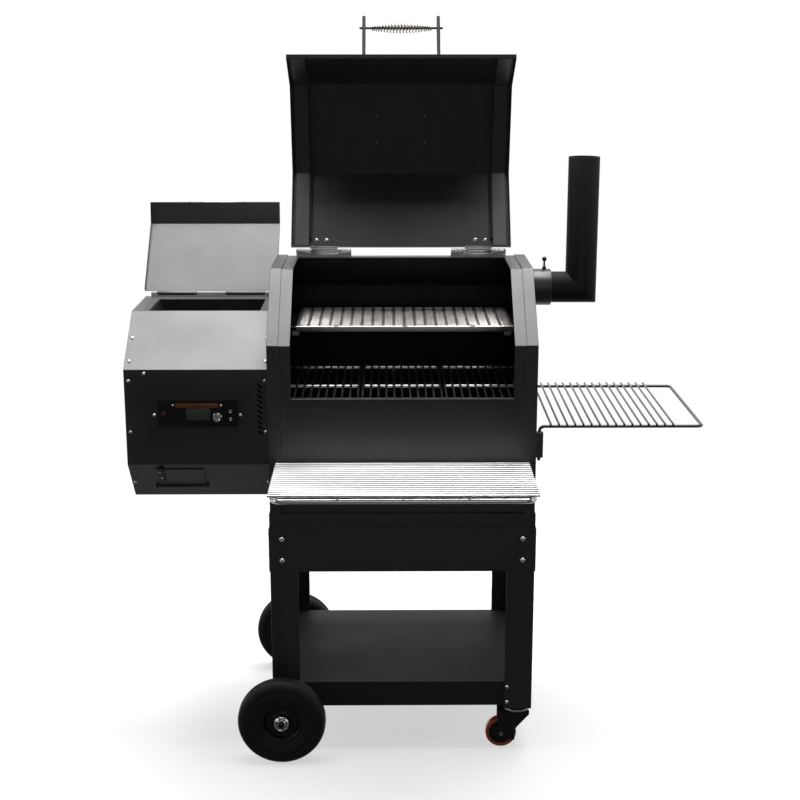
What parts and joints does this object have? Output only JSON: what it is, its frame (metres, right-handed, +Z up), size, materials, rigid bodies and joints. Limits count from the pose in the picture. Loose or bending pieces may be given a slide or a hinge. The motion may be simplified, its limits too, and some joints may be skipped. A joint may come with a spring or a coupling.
{
  "type": "pellet smoker grill",
  "caption": "Barrel-shaped cooking cabinet with an open lid, side pellet hopper with controls, stove pipe, wire shelves and a wheeled cart, burning wood pellets.",
  "frame": {"origin": "centre of the whole object's box at floor level, in the pose of the picture with both lids open", "axes": "+X to the right seen from the front, +Y to the back, +Z up; the long side of the cooking cabinet runs along X"},
  "size_m": [1.6304, 1.0158, 2.1046],
  "materials": {
    "black_coat": "satin black heat-resistant powder coat",
    "stainless": "brushed stainless steel",
    "chrome": "bright chrome plating",
    "plated_steel": "zinc plated steel",
    "rack_steel": "nickel plated steel rod and sheet",
    "shelf_rod": "dark grey semi-gloss coat",
    "tyre": "matt black rubber",
    "wheel_plastic": "moulded black",
    "caster_red": "moulded orange-red polyurethane",
    "seal_rope": "braided glass-fibre rope",
    "panel_trim": "semi-gloss black overlay",
    "display": "liquid crystal window",
    "button_red": "moulded",
    "knob": "turned satin aluminium",
    "black_plastic": "moulded black"
  },
  "bodies": {
    "cart": {"legs_left": "black_coat", "legs_right": "black_coat", "cart_aprons": "black_coat", "lower_shelf": "black_coat", "cart_bolts": "chrome", "wheel_axle": "plated_steel", "caster_plates": "plated_steel", "chamber_side_left": "black_coat", "chamber_side_right": "black_coat", "chamber_wrapper": "black_coat", "chamber_rails": "rack_steel", "chamber_hinge_leaves": "stainless", "fire_pot": "plated_steel", "igniter_rod": "plated_steel", "hopper_shell": "black_coat", "hopper_bin": "plated_steel", "hopper_hinge": "black_coat", "hopper_screws": "black_coat", "control_panel": "panel_trim", "control_display": "display", "probe_jacks": "plated_steel", "auger_tube": "plated_steel", "auger_motor": "black_plastic", "fan_housing": "black_plastic", "stack_collar": "black_coat", "shelf_brackets": "black_coat"},
    "lid": {"lid_shell": "black_coat", "lid_side_channels": "black_coat", "lid_seal": "seal_rope", "lid_handle_frame": "chrome", "lid_grip_coil": "stainless", "lid_badge_plate": "panel_trim", "lid_bolts": "chrome", "lid_hinge_leaves": "stainless"},
    "hopper_lid_body": {"hopper_lid": "black_coat", "hopper_handle_frame": "chrome", "hopper_grip_coil": "stainless"},
    "wheel_front": {"tyre_front": "tyre", "rim_front": "wheel_plastic"},
    "wheel_rear": {"tyre_rear": "tyre", "rim_rear": "wheel_plastic"},
    "caster_swivel_f": {"caster_fork_front": "black_coat"},
    "caster_swivel_r": {"caster_fork_rear": "black_coat"},
    "caster_roller_f": {"caster_wheel_front": "caster_red"},
    "caster_roller_r": {"caster_wheel_rear": "caster_red"},
    "rack": {"upper_rack": "rack_steel"},
    "grate_l": {"grate_left": "rack_steel"},
    "grate_c": {"grate_centre": "rack_steel"},
    "grate_r": {"grate_right": "rack_steel"},
    "tray": {"drip_tray": "plated_steel"},
    "stack": {"smoke_stack": "black_coat"},
    "stack_screw": {"stack_thumbscrew": "black_coat"},
    "shelf_front": {"front_shelf": "stainless"},
    "shelf_side": {"side_shelf": "shelf_rod"},
    "knob": {"control_knob": "knob"},
    "button": {"power_button": "button_red"},
    "auger": {"auger_screw": "plated_steel"},
    "fan": {"fan_impeller": "black_plastic"},
    "ash_door": {"clean_out_door": "black_coat"},
    "latch": {"door_latch": "black_coat"}
  },
  "joints": [
    {"name": "lid_hinge", "type": "hinge", "parent": "cart", "child": "lid", "pos_m": [-0.03525, 0.2421, 1.419], "axis": [1, 0, 0], "range_deg": [0, 121]},
    {"name": "hopper_lid_hinge", "type": "hinge", "parent": "cart", "child": "hopper_lid_body", "pos_m": [-0.61325, 0.2571, 1.288], "axis": [1, 0, 0], "range_deg": [0, 133]},
    {"name": "front_wheel_spin", "type": "hinge", "parent": "cart", "child": "wheel_front", "pos_m": [-0.38425, -0.2599, 0.127], "axis": [0, 1, 0], "continuous": true},
    {"name": "rear_wheel_spin", "type": "hinge", "parent": "cart", "child": "wheel_rear", "pos_m": [-0.38425, 0.4021, 0.127], "axis": [0, 1, 0], "continuous": true},
    {"name": "caster_swivel_front", "type": "hinge", "parent": "cart", "child": "caster_swivel_f", "pos_m": [0.30275, -0.1699, 0.125], "axis": [0, 0, 1], "continuous": true},
    {"name": "caster_swivel_rear", "type": "hinge", "parent": "cart", "child": "caster_swivel_r", "pos_m": [0.30275, 0.3121, 0.125], "axis": [0, 0, 1], "continuous": true},
    {"name": "caster_roll_front", "type": "hinge", "parent": "caster_swivel_f", "child": "caster_roller_f", "pos_m": [0.25675, -0.1699, 0.046], "axis": [0, 1, 0], "continuous": true},
    {"name": "caster_roll_rear", "type": "hinge", "parent": "caster_swivel_r", "child": "caster_roller_r", "pos_m": [0.25675, 0.3121, 0.046], "axis": [0, 1, 0], "continuous": true},
    {"name": "upper_rack_slide", "type": "slide", "parent": "cart", "child": "rack", "axis": [0, -1, 0], "range_m": [0, 0.2]},
    {"name": "grate_left_lift", "type": "slide", "parent": "cart", "child": "grate_l", "axis": [0, 0, 1], "range_m": [0, 0.12]},
    {"name": "grate_centre_lift", "type": "slide", "parent": "cart", "child": "grate_c", "axis": [0, 0, 1], "range_m": [0, 0.12]},
    {"name": "grate_right_lift", "type": "slide", "parent": "cart", "child": "grate_r", "axis": [0, 0, 1], "range_m": [0, 0.12]},
    {"name": "drip_tray_lift", "type": "slide", "parent": "cart", "child": "tray", "axis": [0, 0, 1], "range_m": [0, 0.08]},
    {"name": "stack_turn", "type": "hinge", "parent": "cart", "child": "stack", "pos_m": [0.39075, 0.1761, 1.32], "axis": [1, 0, 0], "range_deg": [-90, 90]},
    {"name": "stack_screw_turn", "type": "hinge", "parent": "cart", "child": "stack_screw", "pos_m": [0.39075, 0.1761, 1.39], "axis": [0, 0, 1], "range_deg": [0, 720]},
    {"name": "front_shelf_lift", "type": "slide", "parent": "cart", "child": "shelf_front", "axis": [0, 0, 1], "range_m": [0, 0.06]},
    {"name": "side_shelf_lift", "type": "slide", "parent": "cart", "child": "shelf_side", "axis": [0, 0, 1], "range_m": [0, 0.09]},
    {"name": "knob_turn", "type": "hinge", "parent": "cart", "child": "knob", "pos_m": [-0.55325, -0.1839, 1.012], "axis": [0, 1, 0], "continuous": true},
    {"name": "button_press", "type": "slide", "parent": "cart", "child": "button", "axis": [0, 1, 0], "range_m": [0, 0.003], "stiffness_N_per_m": 400},
    {"name": "auger_spin", "type": "hinge", "parent": "cart", "child": "auger", "pos_m": [-0.33525, 0.0861, 0.8], "axis": [1, 0, 0], "continuous": true},
    {"name": "fan_spin", "type": "hinge", "parent": "cart", "child": "fan", "pos_m": [-0.71525, 0.1921, 0.775], "axis": [0, 0, 1], "continuous": true},
    {"name": "clean_out_door_hinge", "type": "hinge", "parent": "cart", "child": "ash_door", "pos_m": [-0.66825, -0.10783, 0.78681], "axis": [1, 0, 0], "range_deg": [0, 110]},
    {"name": "latch_turn", "type": "hinge", "parent": "ash_door", "child": "latch", "pos_m": [-0.72025, -0.1367, 0.8285], "axis": [0, -0.7672, -0.6414], "range_deg": [0, 90]}
  ]
}
